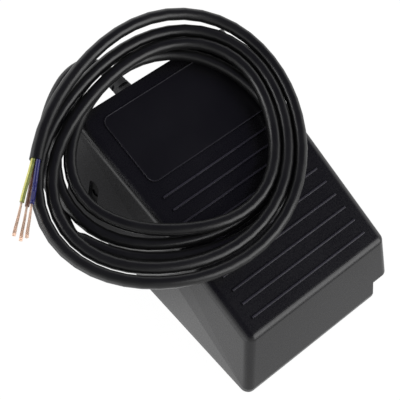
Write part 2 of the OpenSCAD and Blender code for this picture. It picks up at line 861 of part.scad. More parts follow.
// Insulated push-on connectors on the two terminals in use
module connector(length) {
    difference() {
        translate([-connector_width / 2, -connector_thickness / 2, 0])
            cube([connector_width, connector_thickness, length]);
        translate([-terminal_width / 2 - running_gap, -terminal_thickness / 2 - running_gap,
            length - connector_cover])
            cube([terminal_width + 2 * running_gap, terminal_thickness + 2 * running_gap,
                connector_cover + overrun]);
        translate([0, 0, -overrun])
            cylinder(d = core_diameter + 2 * core_play, h = connector_neck + overrun, $fn = 24);
    }
}

module connector_brown() {
    color("#c03030")
        translate([lever_x, connector_brown_y, terminal_z])
            rotate([90, 0, 0])
                connector(connector_length);
}

module connector_blue() {
    color("#c03030")
        translate([lever_x, open_y, connector_blue_z])
            connector(connector_short);
}

// A lead from the end of the cable's sheath to the mouth of a piece, which it enters
// straight along a way
module lead(from_points, to_points, offset, mouth, way, depth, colour) {
    cable_end = [entry_x, lead_start_y, entry_z];
    start = cable_end + offset;
    path = concat([start], curve(concat(
        [start - [0, core_diameter, 0]],
        [for (p = from_points) cable_end + p],
        [for (p = to_points) mouth + p],
        [mouth - way * lead_straight, mouth - way * lead_stand_off, mouth + way * depth]), 3));
    color(colour)
        tube(path, core_diameter / 2, 8);
}

module lead_brown() {
    lead(brown_from, brown_to, [core_spread, 0, core_drop], [lever_x, connector_brown_y, terminal_z],
        [0, -1, 0], connector_neck - seat_gap, "#6b3f22");
}
module lead_blue() {
    lead(blue_from, blue_to, [0, 0, -core_lift], [lever_x, open_y, connector_blue_z],
        [0, 0, 1], connector_neck - seat_gap, "#2a56b0");
}
module lead_earth() {
    lead(earth_from, earth_to, [-core_spread, 0, core_drop],
        [earth_x, earth_y + earth_length / 2, earth_bore_z], [0, -1, 0], earth_length / 2 - seat_gap, "#8faa2a");
}

module earth_terminal() {
    color("#e8e4d8")
        difference() {
            translate([earth_x - earth_width / 2, earth_y - earth_length / 2, tray_floor_z])
                cube([earth_width, earth_length, earth_height]);
            translate([earth_x, earth_y, earth_bore_z])
                rotate([-90, 0, 0])
                    cylinder(r = earth_bore, h = earth_length);
            translate([earth_x, earth_y - earth_screw_inset, earth_bore_z])
                cylinder(r = screw_radius + running_gap, h = earth_height);
        }
}

module earth_screw() {
    color("silver")
        translate([earth_x, earth_y - earth_screw_inset, tray_floor_z + earth_height])
            screw(earth_height / 2 - seat_gap);
}

module cable_clamp() {
    color("#2f2f33")
        difference() {
            translate([entry_x - shelf_half, clamp_y - clamp_width / 2, entry_z + clamp_gap])
                cube([2 * shelf_half, clamp_width, cable_radius + clamp_height]);
            translate([entry_x, rear_wall_y - shelf_depth - overrun, entry_z])
                rotate([-90, 0, 0])
                    cylinder(r = cable_radius + running_gap, h = shelf_depth + overrun);
            for (side = [-1, 1])
                translate([entry_x + side * clamp_screw_x, clamp_y, entry_z])
                    cylinder(r = screw_radius + running_gap, h = cable_radius + clamp_height + overrun);
        }
}

module clamp_screws() {
    color("silver")
        for (side = [-1, 1])
            translate([entry_x + side * clamp_screw_x, clamp_y,
                entry_z + clamp_gap + cable_radius + clamp_height])
                screw(cable_radius + clamp_height + screw_bite);
}

module strain_relief() {
    outside = rear_wall_y + tray_wall;
    bore = cable_radius + running_gap;
    color("#1d1d1f")
        difference() {
            translate([entry_x, 0, entry_z])
                rotate([-90, 0, 0])
                    rotate_extrude()
                        polygon([
                            [bore, rear_wall_y - face_gap - boot_flange],
                            [boot_inner_radius, rear_wall_y - face_gap - boot_flange],
                            [boot_inner_radius, rear_wall_y - face_gap],
                            [boot_neck_radius, rear_wall_y - face_gap],
                            [boot_neck_radius, outside + face_gap],
                            [boot_flange_radius, outside + face_gap],
                            [boot_flange_radius, outside + boot_flange],
                            [boot_diameter / 2, outside + boot_flange + boot_round],
                            [boot_tip_radius, boot_tip_y - boot_round],
                            [boot_tip_radius - boot_round / 2, boot_tip_y],
                            [bore, boot_tip_y]]);
            for (i = [0 : boot_groove_count - 1], side = [-1, 1])
                translate([entry_x, outside + boot_groove_start + i * 2 * boot_groove, entry_z])
                    rotate([0, 90 * (i % 2), 0])
                        translate([side * (cable_radius + boot_core_wall + boot_diameter / 2), 0, 0])
                            cube([boot_diameter, boot_groove, 2 * boot_diameter], center = true);
        }
}

module cable_entry() {
    color("#151515")
        translate([entry_x, entry_end_y, entry_z])
            rotate([-90, 0, 0])
                cylinder(r = cable_radius, h = boot_tip_y - entry_end_y);
}

module cable_run() {
    tip = [entry_x, boot_tip_y, entry_z];
    before = coil_begin - coil_way(0) * cable_diameter;
    path = concat([tip], curve(concat([tip + [0, cable_radius, 0]], run_route, [before]), 2), [coil_begin]);
    color("#151515")
        tube(path, cable_radius, 12);
}

module cable_coil() {
    color("#151515")
        tube(coil_path, cable_radius, coil_sides);
}

// The three cores past the end of the sheath, which part a little
end_way = coil_way(coil_turns);
end_side = across(end_way);
end_rise = cross(end_side, end_way);
core_turns = [270, 150, 30];
function core_place(k, along, spread) = coil_end + end_way * along
    + spread * (cos(core_turns[k]) * end_side + sin(core_turns[k]) * end_rise);
module free_core(k, colour) {
    color(colour)
        tube([for (i = [0 : 5]) let(u = i / 5)
            core_place(k, core_length * u, end_spread * (1 + end_flare_share * blend(u)))],
            core_diameter / 2, 8);
}
module core_brown() { free_core(0, "#6b3f22"); }
module core_blue() { free_core(1, "#2a56b0"); }
module core_earth() { free_core(2, "#8faa2a"); }

module copper_ends() {
    color("#b87333")
        for (k = [0 : 2])
            tube([for (i = [0 : 3]) let(u = i / 3)
                core_place(k, core_length + copper_length * u,
                    end_spread * (1 + end_flare_share + copper_flare_share * u))], copper_diameter / 2, 8);
}

base_tray();
pedal();
label_plate();
pivot_pin();
pin_clips();
return_spring();
stop_pad_left();
stop_pad_right();
foot_front_left();
foot_front_right();
foot_rear_left();
foot_rear_right();
switch_body();
switch_cover();
switch_plunger();
switch_lever();
terminal_common();
terminal_open();
terminal_closed();
switch_screws();
connector_brown();
connector_blue();
lead_brown();
lead_blue();
lead_earth();
earth_terminal();
earth_screw();
cable_clamp();
clamp_screws();
strain_relief();
cable_entry();
cable_run();
cable_coil();
core_brown();
core_blue();
core_earth();
copper_ends();
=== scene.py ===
"""Looks for the foot switch: cable, cores, trim, materials, stage and camera round the solids."""
import math

import bmesh
import bpy
from mathutils import Matrix, Vector


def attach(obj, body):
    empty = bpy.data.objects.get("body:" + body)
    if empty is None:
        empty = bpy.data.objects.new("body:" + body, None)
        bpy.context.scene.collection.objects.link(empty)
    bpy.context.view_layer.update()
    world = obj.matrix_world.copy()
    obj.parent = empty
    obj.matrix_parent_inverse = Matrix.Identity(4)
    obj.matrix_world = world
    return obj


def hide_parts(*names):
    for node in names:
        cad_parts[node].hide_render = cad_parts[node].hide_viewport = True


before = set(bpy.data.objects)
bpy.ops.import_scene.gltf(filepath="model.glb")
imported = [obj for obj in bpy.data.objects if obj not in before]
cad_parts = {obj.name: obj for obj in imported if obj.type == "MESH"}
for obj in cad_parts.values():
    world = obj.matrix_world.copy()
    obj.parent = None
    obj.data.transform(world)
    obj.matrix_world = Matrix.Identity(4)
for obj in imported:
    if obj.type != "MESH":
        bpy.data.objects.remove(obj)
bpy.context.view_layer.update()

bl_info = {
    "name": "Foot Switch",
    "version": (1, 0, 0),
    "blender": (4, 5, 0),
    "location": "View3D > Sidebar > Foot Switch",
    "description": "Dresses a wedge foot switch with its coiled cable",
    "category": "Object",
}

MM = 0.001


# Places and sizes shared with the solids, in millimetres and degrees

# Top of the pedal: its front edge, and the crest where its slope changes
FRONT_TOP_Y = -55.5
FRONT_TOP_Z = 39
CREST_Y = 4.5
CREST_DISTANCE = CREST_Y - FRONT_TOP_Y
PEDAL_LENGTH = 120
FRONT_SLOPE = math.tan(math.radians(17.2))
REAR_SLOPE = math.tan(math.radians(11.3))

RIB_COUNT = 10
RIB_START = 8.3
RIB_PITCH = 6.87
RIB_LENGTH = 70
RIB_WIDTH = 1.1
RIB_HEIGHT = 0.6

PLATE_WIDTH = 70
PLATE_LENGTH = 37
PLATE_CORNER = 4
PLATE_MARGIN = 6

# Cable from the strain relief to the coil
CABLE_DIAMETER = 5.6
ENTRY = Vector((-10, 83, 56.463))
RUN_ROUTE = [
    (-12, 90, 56.6), (-19, 93, 57), (-30, 90.5, 57.5), (-44, 82, 58), (-58, 69, 59),
    (-68, 54, 60.5), (-74, 38, 62),
]

# Coil: lower turns that wind in, and upper turns that wind out over them
TURNS_IN = 2.0
COIL_TURNS = 4.84
COIL_START_ANGLE = 200
COIL_X, COIL_Y = -17.1, 29.7
COIL_INNER_RADIUS = 47.6
COIL_PITCH = 6.3
COIL_CORNER = 1.5
COIL_EXTRA_SLOPE = 0.017
SEAT_GAP = 0.3
LOWER_TURN, UPPER_TURN = -4, 13.1
LOWER_BULGE, UPPER_BULGE = -0.4, 1.1
LOWER_FLAT, UPPER_FLAT = 9.5, 15.1
UPPER_GROWTH = 6.1
UPPER_LEFT = 5.2
UPPER_FRONT = 4.7
CHANGE_SHARE = 0.4
LAYER_RISE = 6.4
CLIMB_SHARE = 0.5
# The end of the coil comes in and climbs over the turn below it
END_TUCK, TUCK_FROM, TUCK_SHARE = 7, 4.5, 0.5
END_CLIMB, TUCK_CLIMB_FROM, TUCK_CLIMB_SHARE = 6.2, 4.45, 0.25

# Free core ends: where each lies round the cable's middle, and how they spread
CORE_TURNS = {"brown": 270, "blue": 150, "earth": 30}
CORE_DIAMETER = 1.9
CORE_GAP = 0.15
CORE_FREE = 20
CORE_BARE = 15
CORE_SPREAD = 0.9
BARE_SPREAD = 0.5


# Sizes of the pieces that only this script makes, in millimetres

RINGS_PER_TURN = 48
RUN_STEPS = 5
CORE_STEPS = 12
BARE_STEPS = 8

# Strands of one core: a third of them lie inside the others
STRAND_RADIUS = 0.13
INNER_RING, OUTER_RING = 0.18, 0.42
INNER_LAY = 2.6
STRAND_TWIST = 2.2
STRAND_FRAY = 0.7

# Rib crown: past the rib's sides, above its top, down into the pedal, and its rounding
CROWN_SIDE = 0.05
CROWN_PROUD = 0.04
CROWN_SUNK = 0.31
CROWN_BEVEL = 0.35

# Bead on the plate's edge
BEAD_RADIUS = 0.3
BEAD_INSET = 0.25
BEAD_HEIGHT = 0.42
BEAD_STEPS = 8


# Colours and looks

PEDAL_BLACK = (0.0022, 0.0020, 0.0030)
SHEATH_BLACK = (0.003, 0.003, 0.0032)
CORE_COLOURS = {
    "brown": (0.10, 0.045, 0.03),
    "blue": (0.01, 0.01, 0.09),
    "earth": (0.46, 0.44, 0.12),
}
STRIPE_GREEN = (0.15, 0.17, 0.04)
COPPER = (1.0, 0.74, 0.58)

# How much lighter the ribs' crowns and the plate's edge are painted than the pedal, as a painted
# highlight
RIB_HIGHLIGHT = 8
EDGE_HIGHLIGHT = 6

# Oval column along the pin in which the pedal is painted with shade by losing its shine, a little
# inside the pockets
POCKET_SHADE_MIDDLE = (0, 47.2, 31)
POCKET_SHADE_REACH = (10000, 3.1, 9.4)
POCKET_SHADE_FADE = (0.92, 1.06)


# Camera, fitted to the pedal's edges in the photograph

AZIMUTH, ELEVATION, ROLL = -52.74, 57.75, 13.28
CAMERA_AIM = (0, FRONT_TOP_Y, 5)
CAMERA_RIGHT, CAMERA_UP, CAMERA_BACK = -49.29, 57.30, 587.2
FOCAL_PIXELS = 1266.3
PICTURE_PIXELS = 400
SENSOR_WIDTH = 36


# Surroundings, in metres

# The sky that shiny surfaces see: from low to high, and its strength from the front to the rear
SKY_LOW, SKY_HIGH = (0.55, 0.55, 0.55, 1), (0.03, 0.028, 0.05, 1)
SKY_FADE = (0.35, 0.64)
SKY_STRENGTH = (-0.7, -0.1, 1, 2.1)
PLAIN_SKY = 0.75

# Painted shadow and painted pools of light on the floor, seen only in reflections: for each pool,
# its middle, inner and outer radius, and its strength inside and outside
PAINTED_FLOOR_LIGHT = (
    # The first pool is painted shadow under the coil; the others are painted pools of light and
    # shade
    ((-0.085, 0.055, 0), 0.02, 0.085, 0.12, 1.0),
    ((-0.062, -0.018, 0), 0.03, 0.065, 1.35, 0.78),
    ((0.12, -0.35, 0), 0.15, 0.27, 0.35, 1.0),
    ((-0.33, -0.02, 0), 0.14, 0.24, 3.2, 1.0),
)
FLOOR_SIZE = 3
FLOOR_TO_CAMERA = 1.03

# Soft lamps: place, width and height, and power
LAMP_AIM = Vector((0, 0, 0.05))
LAMPS = {
    "key lamp": ((0.44, -0.84, 0.42), (0.9, 0.8), 6.5),
    "rim lamp": ((-0.74, 0.55, 0.4), (0.7, 0.6), 5),
}


# Places on the pedal, and the cable's lines

def top_place(distance):
    """The height and the slope of the pedal's top, at a distance behind its front edge."""
    crest_height = FRONT_TOP_Z + CREST_DISTANCE * FRONT_SLOPE
    if distance < CREST_DISTANCE:
        return FRONT_TOP_Z + distance * FRONT_SLOPE, math.atan(FRONT_SLOPE)
    return crest_height + (distance - CREST_DISTANCE) * REAR_SLOPE, math.atan(REAR_SLOPE)


def on_top(distance):
    """A frame on the pedal's top, in millimetres, whose Z stands square to it."""
    height, slope = top_place(distance)
    place = Matrix.Translation((0, FRONT_TOP_Y + distance, height))
    return place @ Matrix.Rotation(slope, 4, "X")


def blend(t):
    t = max(0.0, min(1.0, t))
    return t * t * (3 - 2 * t)


def coil_point(t):
    """The middle of the cable in the coil, in millimetres, t turns from its start."""
    upper = blend((t - TURNS_IN) / CHANGE_SHARE)

    def between(low, high):
        return low + (high - low) * upper

    a = math.radians(COIL_START_ANGLE + 360 * t)
    turn = math.radians(between(LOWER_TURN, UPPER_TURN))
    radius = (COIL_INNER_RADIUS + COIL_PITCH * abs(t - TURNS_IN) + between(0, UPPER_GROWTH)
              - COIL_CORNER * math.cos(3 * a) + between(LOWER_BULGE, UPPER_BULGE) * math.sin(3 * a)
              - END_TUCK * blend((t - TUCK_FROM) / TUCK_SHARE))
    u = radius * math.cos(a - turn)
    v = (radius - between(LOWER_FLAT, UPPER_FLAT)) * math.sin(a - turn)
    x = COIL_X - between(0, UPPER_LEFT) + u * math.cos(turn) - v * math.sin(turn)
    y = COIL_Y - between(0, UPPER_FRONT) + u * math.sin(turn) + v * math.cos(turn)
    crest_height, rear_angle = top_place(CREST_DISTANCE)
    seat = crest_height + RIB_HEIGHT + SEAT_GAP + CABLE_DIAMETER / 2 / math.cos(rear_angle)
    climb = (LAYER_RISE * blend((t - TURNS_IN) / CLIMB_SHARE + 0.5)
             + END_CLIMB * blend((t - TUCK_CLIMB_FROM) / TUCK_CLIMB_SHARE))
    return Vector((x, y, seat + (REAR_SLOPE + COIL_EXTRA_SLOPE) * (y - CREST_Y) + climb))


def coil_way(t):
    return (coil_point(t + 0.001) - coil_point(t - 0.001)).normalized()


def sheath_end():
    return coil_point(COIL_TURNS) + coil_way(COIL_TURNS) * CABLE_DIAMETER


def smooth_curve(points, steps):
    """Points of a smooth curve through the given points."""
    out = []
    n = len(points) - 1
    for i in range(n):
        a, b = points[max(0, i - 1)], points[i]
        c, d = points[i + 1], points[min(n, i + 2)]
        for s in range(steps):
            t = s / steps
            out.append(0.5 * (2 * b + (c - a) * t + (2 * a - 5 * b + 4 * c - d) * t ** 2
                              + (3 * b - a - 3 * c + d) * t ** 3))
    return out + [points[n]]


def cable_points():
    """The whole sheathed cable outside the strain relief, in metres."""
    straight = ENTRY + Vector((0, CABLE_DIAMETER / 2, 0))
    step = coil_way(0) * CABLE_DIAMETER
    begin = coil_point(0) - step
    run = [straight] + [Vector(p) for p in RUN_ROUTE] + [begin - step, begin]
    steps = int(COIL_TURNS * RINGS_PER_TURN)
    coil = [coil_point(COIL_TURNS * i / steps) for i in range(steps + 1)]
    return [p * MM for p in [ENTRY] + smooth_curve(run, RUN_STEPS) + coil + [sheath_end()]]


def core_paths():
    """The three cores past the sheath's end, and their bare ends, in metres."""
    end = sheath_end()
    way = coil_way(COIL_TURNS)
    side = way.cross(Vector((0, 0, 1))).normalized()
    rise = side.cross(way)
    paths = {}
    for name, turn in CORE_TURNS.items():
        out = side * math.cos(math.radians(turn)) + rise * math.sin(math.radians(turn))
        out *= CORE_DIAMETER / math.sqrt(3) + CORE_GAP
        core = [end + way * CORE_FREE * u + out * (1 + CORE_SPREAD * blend(u))
                for u in (i / CORE_STEPS for i in range(-1, CORE_STEPS + 1))]
        bare = [end + way * (CORE_FREE + CORE_BARE * u) + out * (1 + CORE_SPREAD + BARE_SPREAD * u)
                for u in (i / BARE_STEPS for i in range(BARE_STEPS + 1))]
        paths[name] = ([p * MM for p in core], [p * MM for p in bare])
    return paths


# Materials

def add_node(tree, kind, inputs=None, **settings):
    """Adds a shader node with its settings and the values of its unlinked inputs."""
    node = tree.nodes.new("ShaderNode" + kind)
    for name, value in settings.items():
        setattr(node, name, value)
    for socket, value in (inputs or {}).items():
        node.inputs[socket].default_value = value
    return node


def principled(name):
    material = bpy.data.materials.new(name)
    material.use_nodes = True
    return material, material.node_tree, material.node_tree.nodes["Principled BSDF"]


def object_noise(tree, scale, detail, stretch=(1, 1, 1)):
    """A noise on the piece's own Object coordinates."""
    place = add_node(tree, "TexCoord")
    mapping = add_node(tree, "Mapping", {"Scale": stretch})
    noise = add_node(tree, "TexNoise", {"Scale": scale, "Detail": detail})
    tree.links.new(place.outputs["Object"], mapping.inputs["Vector"])
    tree.links.new(mapping.outputs["Vector"], noise.inputs["Vector"])
    return noise.outputs["Fac"]


def colour_ramp(tree, source, low, high, start=0.35, end=0.65):
    """A ramp from one colour to another over a value."""
    node = add_node(tree, "ValToRGB")
    first, last = node.color_ramp.elements
    first.position, last.position = start, end
    first.color, last.color = low, high
    tree.links.new(source, node.inputs["Fac"])
    return node.outputs["Color"]


def value_range(tree, source, from_min, from_max, to_min, to_max, **settings):
    """A value carried from one range to another."""
    node = add_node(tree, "MapRange", {"From Min": from_min, "From Max": from_max,
                                       "To Min": to_min, "To Max": to_max}, **settings)
    tree.links.new(source, node.inputs["Value"])
    return node.outputs["Result"]


def grey(value):
    return (value, value, value, 1)


def shade(colour, factor, extra=0.0):
    """A colour made lighter or darker, with full alpha."""
    return tuple(min(1.0, c * factor + extra) for c in colour) + (1,)


def finish_surface(tree, shader, tone, shine, height, bump, depth):
    """Gives a shader its colour, its roughness and a fine relief."""
    relief = add_node(tree, "Bump", {"Strength": bump, "Distance": depth})
    tree.links.new(tone, shader.inputs["Base Color"])
    tree.links.new(shine, shader.inputs["Roughness"])
    tree.links.new(height, relief.inputs["Height"])
    tree.links.new(relief.outputs["Normal"], shader.inputs["Normal"])


def moulded_plastic(name, colour, rough, grain=900.0, bump=0.02):
    """Moulded plastic or rubber: a fine grain, small changes of shine and lighter patches."""
    material, tree, shader = principled(name)
    patches = object_noise(tree, scale=40.0, detail=4.0)
    fine = object_noise(tree, scale=grain, detail=2.0)
    tone = colour_ramp(tree, patches, shade(colour, 1), shade(colour, 1.25, 0.0015))
    shine = colour_ramp(tree, fine, grey(rough - 0.05), grey(rough + 0.05), 0.3, 0.7)
    finish_surface(tree, shader, tone, shine, fine, bump, depth=0.0002)
    return material


def metal(name, colour, rough, stretch=(1, 1, 1), scale=600.0, metallic=1.0):
    """Metal with fine drawn or brushed marks."""
    material, tree, shader = principled(name)
    shader.inputs["Metallic"].default_value = metallic
    marks = object_noise(tree, scale, detail=3.0, stretch=stretch)
    tone = colour_ramp(tree, marks, shade(colour, 0.8), shade(colour, 1))
    shine = colour_ramp(tree, marks, grey(rough - 0.06), grey(rough + 0.08))
    finish_surface(tree, shader, tone, shine, marks, bump=0.03, depth=0.0001)
    return material


def sheath_material():
    return moulded_plastic("black cable sheath", look().sheath_colour, look().sheath_roughness,
                           grain=90.0, bump=0.0)


def painted_highlight_material(name, highlight_factor):
    """The pedal's plastic made lighter, as a painted highlight."""
    return moulded_plastic(name, [c * highlight_factor for c in look().pedal_colour], 0.35)


def paint_pocket_shade(material):
    """Paints shade into the pockets round the ends of the pin, by taking their shine."""
    tree = material.node_tree
    place = add_node(tree, "TexCoord")
    mapping = add_node(tree, "Mapping", {"Location": Vector(POCKET_SHADE_MIDDLE) * MM,
                                         "Scale": Vector(POCKET_SHADE_REACH) * MM}, vector_type="TEXTURE")
    away = add_node(tree, "VectorMath", operation="LENGTH")
    tree.links.new(place.outputs["Object"], mapping.inputs["Vector"])
    tree.links.new(mapping.outputs["Vector"], away.inputs[0])
    inside = value_range(tree, away.outputs["Value"], *POCKET_SHADE_FADE, 1, 0)
    # Painted shade: the near-black plastic turns metallic here, so the pockets reflect almost
    # nothing
    tree.links.new(inside, tree.nodes["Principled BSDF"].inputs["Metallic"])


def dress(material, *names):
    """Gives one material to solids that stay as they are."""
    for name in names:
        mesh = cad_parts[name].data
        mesh.materials.clear()
        mesh.materials.append(material)


# Shapes

def face_out(bm):
    """Merges doubled points and turns the faces outwards."""
    bmesh.ops.remove_doubles(bm, verts=bm.verts, dist=1e-7)
    bmesh.ops.recalc_face_normals(bm, faces=bm.faces)


def new_piece(name, bm, materials, body):
    """Turns a finished bmesh into a smooth piece that rides on a body."""
    mesh = bpy.data.meshes.new(name)
    bm.to_mesh(mesh)
    bm.free()
    for material in materials:
        mesh.materials.append(material)
    mesh.shade_smooth()
    piece = bpy.data.objects.new(name, mesh)
    bpy.context.scene.collection.objects.link(piece)
    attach(piece, body)
    return piece


def ring_frames(points):
    """A frame at each point whose Z runs along the path, turning as little as it can."""
    frames = []
    side = None
    for i, point in enumerate(points):
        way = (points[min(len(points) - 1, i + 1)] - points[max(0, i - 1)]).normalized()
        if side is None:
            side = way.orthogonal().normalized()
        side = (side - way * side.dot(way)).normalized()
        rows = Matrix((side, way.cross(side), way)).transposed().to_4x4()
        frames.append(Matrix.Translation(point) @ rows)
    return frames


def sweep(bm, points, radius, sides):
    """Extrudes a round cap along a path in metres, and returns its frames."""
    frames = ring_frames(points)
    first = bmesh.ops.create_circle(bm, cap_ends=True, radius=1.0, segments=sides)["verts"]
    bmesh.ops.scale(bm, vec=(radius,) * 3, verts=first)
    bmesh.ops.transform(bm, matrix=frames[0], verts=first)
    cap = first[0].link_faces[0]
    for i in range(1, len(points)):
        grown = bmesh.ops.extrude_face_region(bm, geom=[cap], use_keep_orig=(i == 1))["geom"]
        ring = [g for g in grown if isinstance(g, bmesh.types.BMVert)]
        bmesh.ops.transform(bm, matrix=frames[i] @ frames[i - 1].inverted(), verts=ring)
        cap = next(g for g in grown if isinstance(g, bmesh.types.BMFace))
    return frames


def stripe_core(bm, frames):
    """Gives the second material to two stripes along a core."""
    for face in bm.faces:
        middle = face.calc_center_median()
        near = min(frames, key=lambda f: (f.translation - middle).length)
        local = near.inverted() @ middle
        if math.cos(math.atan2(local.y, local.x) * 2) < -0.25:
            face.material_index = 1


def strand_points(frames, number, count):
    """The path of one copper strand, which frays a little towards its end."""
    inner = number < count // 3
    ring = (INNER_RING if inner else OUTER_RING) * MM
    start = 2 * math.pi * number / count * (INNER_LAY if inner else 1)
    fray = STRAND_FRAY * (1 + 0.25 * math.sin(number * 2.4))
    points = []
    for i, place in enumerate(frames):
        u = i / (len(frames) - 1)
        a = start + u * STRAND_TWIST
        r = ring * (1 + fray * u * u)
        points.append(place @ Vector((r * math.cos(a), r * math.sin(a), 0)))
    return points


def make_core_ends():
    """Makes the insulated core ends and their copper strands."""
    green = moulded_plastic("green stripe", STRIPE_GREEN, 0.35)
    copper = metal("bare copper", COPPER, 0.38, metallic=0.55)
    made = []
    paths = core_paths()
    for name, (core, _) in paths.items():
        plastic = moulded_plastic(name + " core", CORE_COLOURS[name], 0.35)
        bm = bmesh.new()
        frames = sweep(bm, core, look().core_diameter / 2, sides=18)
        face_out(bm)
        if name == "earth":
            stripe_core(bm, frames)
        piece = new_piece("core_end_" + name, bm, [plastic, green], "base")
        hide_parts("core_" + name)
        made.append(piece)
    bm = bmesh.new()
    count = look().strand_count
    for _, bare in paths.values():
        frames = ring_frames(bare)
        for number in range(count):
            sweep(bm, strand_points(frames, number, count), STRAND_RADIUS * MM, sides=6)
    face_out(bm)
    piece = new_piece("copper_strands", bm, [copper], "base")
    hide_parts("copper_ends")
    return made + [piece]


def make_rib_crowns():
    """Rounds the tops and the ends of the grip ribs, which are painted lighter as a highlight."""
    bm = bmesh.new()
    low, high = -CROWN_SUNK, RIB_HEIGHT + CROWN_PROUD
    size = (RIB_LENGTH, RIB_WIDTH + 2 * CROWN_SIDE, high - low)
    for k in range(RIB_COUNT):
        made = bmesh.ops.create_cube(bm, size=1)["verts"]
        upper = [e for e in {e for v in made for e in v.link_edges}
                 if any(v.co.z > 0 for v in e.verts)]
        bmesh.ops.scale(bm, vec=size, verts=made)
        bmesh.ops.translate(bm, vec=(0, 0, (low + high) / 2), verts=made)
        place = Matrix.Scale(MM, 4) @ on_top(RIB_START + k * RIB_PITCH)
        bmesh.ops.transform(bm, matrix=place, verts=made)
        bmesh.ops.bevel(bm, geom=upper, offset=CROWN_BEVEL * MM, segments=4, profile=0.5,
                        material=-1, affect="EDGES")
    face_out(bm)
    # Painted highlight: the crowns are lighter than the pedal
    new_piece("rib_crowns", bm, [painted_highlight_material("rib crowns painted highlight", RIB_HIGHLIGHT)], "pedal")


def make_plate_bead():
    """Rounds the edge of the blank label plate with a fine bead."""
    place = on_top(PEDAL_LENGTH - PLATE_MARGIN - PLATE_LENGTH / 2)
    bend = PLATE_CORNER - BEAD_INSET
    path = []
    for k, (sx, sy) in enumerate(((1, 1), (-1, 1), (-1, -1), (1, -1))):
        x, y = sx * (PLATE_WIDTH / 2 - PLATE_CORNER), sy * (PLATE_LENGTH / 2 - PLATE_CORNER)
        for i in range(BEAD_STEPS + 1):
            a = math.radians(90 * (k + i / BEAD_STEPS))
            point = Vector((x + bend * math.cos(a), y + bend * math.sin(a), BEAD_HEIGHT))
            path.append(place @ point)
    path.append(path[0])
    bm = bmesh.new()
    sweep(bm, [p * MM for p in path], BEAD_RADIUS * MM, sides=8)
    face_out(bm)
    # Painted highlight: the bead is lighter than the pedal
    new_piece("label_plate_edge", bm, [painted_highlight_material("plate edge painted highlight", EDGE_HIGHLIGHT)], "pedal")


# Surroundings

def mix_shaders(tree, factor, first, second):
    """Mixes two shaders by a factor."""
    node = add_node(tree, "MixShader")
    for socket, source in enumerate((factor, first, second)):
        tree.links.new(source, node.inputs[socket])
    return node.outputs["Shader"]


def combine(tree, operation, first, second):
    """Combines two values by a Math node."""
    node = add_node(tree, "Math", operation=operation)
    tree.links.new(first, node.inputs[0])
    tree.links.new(second, node.inputs[1])
    return node.outputs["Value"]


def make_world(scene):
    """Makes the world white to the camera, plain as light, and a sky of its own in reflections."""
    world = bpy.data.worlds.new("studio")
    world.use_nodes = True
    scene.world = world
    tree = world.node_tree
    tree.nodes.clear()
    rays = add_node(tree, "LightPath")
    place = add_node(tree, "TexCoord")
    split = add_node(tree, "SeparateXYZ")
    tree.links.new(place.outputs["Generated"], split.inputs["Vector"])
    plain = add_node(tree, "Background", {"Color": grey(PLAIN_SKY)})
    white = add_node(tree, "Background", {"Color": grey(1)})
    sky = add_node(tree, "Background")
    tree.links.new(colour_ramp(tree, split.outputs["Z"], SKY_LOW, SKY_HIGH, *SKY_FADE),
                   sky.inputs["Color"])
    tree.links.new(value_range(tree, split.outputs["Y"], *SKY_STRENGTH), sky.inputs["Strength"])
    light = mix_shaders(tree, rays.outputs["Is Glossy Ray"],
                        plain.outputs["Background"], sky.outputs["Background"])
    whole = mix_shaders(tree, rays.outputs["Is Camera Ray"], light, white.outputs["Background"])
    tree.links.new(whole, add_node(tree, "OutputWorld").inputs["Surface"])


def painted_floor_light(tree):
    """Painted shadow and pools of light on the floor, seen in reflections, as the product of its
    pools.
    """
    place = add_node(tree, "TexCoord")
    strength = None
    for middle, near, far, inside, outside in PAINTED_FLOOR_LIGHT:
        away = add_node(tree, "VectorMath", {1: middle}, operation="DISTANCE")
        tree.links.new(place.outputs["Object"], away.inputs[0])
        pool = value_range(tree, away.outputs["Value"], near, far, inside, outside,
                           interpolation_type="SMOOTHSTEP")
        strength = combine(tree, "MULTIPLY", strength, pool) if strength else pool
    return strength


def floor_material():
    """White to the camera, with painted shadow and pools of light in reflections, and a little of
    the shadow.
    """
    material, tree, shader = principled("white floor")
    shader.inputs["Base Color"].default_value = grey(0.9)
    shader.inputs["Roughness"].default_value = 0.9
    shader.inputs["Specular IOR Level"].default_value = 0.0
    rays = add_node(tree, "LightPath")
    bright = add_node(tree, "Mix", {"B": FLOOR_TO_CAMERA})
    tree.links.new(rays.outputs["Is Camera Ray"], bright.inputs["Factor"])
    # Painted shadow and pools of light, seen only in reflections
    tree.links.new(painted_floor_light(tree), bright.inputs["A"])
    glow = add_node(tree, "Emission", {"Color": grey(1)})
    tree.links.new(bright.outputs["Result"], glow.inputs["Strength"])
    seen = combine(tree, "MAXIMUM", rays.outputs["Is Camera Ray"], rays.outputs["Is Glossy Ray"])
    part = add_node(tree, "Math", {1: 1 - look().floor_shade}, operation="MULTIPLY")
    tree.links.new(seen, part.inputs[0])
    whole = mix_shaders(tree, part.outputs["Value"],
                        shader.outputs["BSDF"], glow.outputs["Emission"])
    tree.links.new(whole, tree.nodes["Material Output"].inputs["Surface"])
    return material


def make_floor(scene):
    bm = bmesh.new()
    bmesh.ops.create_grid(bm, x_segments=2, y_segments=2, size=FLOOR_SIZE)
    mesh = bpy.data.meshes.new("floor")
    bm.to_mesh(mesh)
    bm.free()
    mesh.materials.append(floor_material())
    floor = bpy.data.objects.new("floor", mesh)
    scene.collection.objects.link(floor)


def make_lamp(scene, name, place, size, power):
    data = bpy.data.lights.new(name, "AREA")
    data.shape = "RECTANGLE"
    data.size, data.size_y = size
    data.energy = power
    lamp = bpy.data.objects.new(name, data)
    lamp.location = place
    lamp.rotation_euler = (LAMP_AIM - Vector(place)).to_track_quat("-Z", "Y").to_euler()
    scene.collection.objects.link(lamp)


# What a user can change

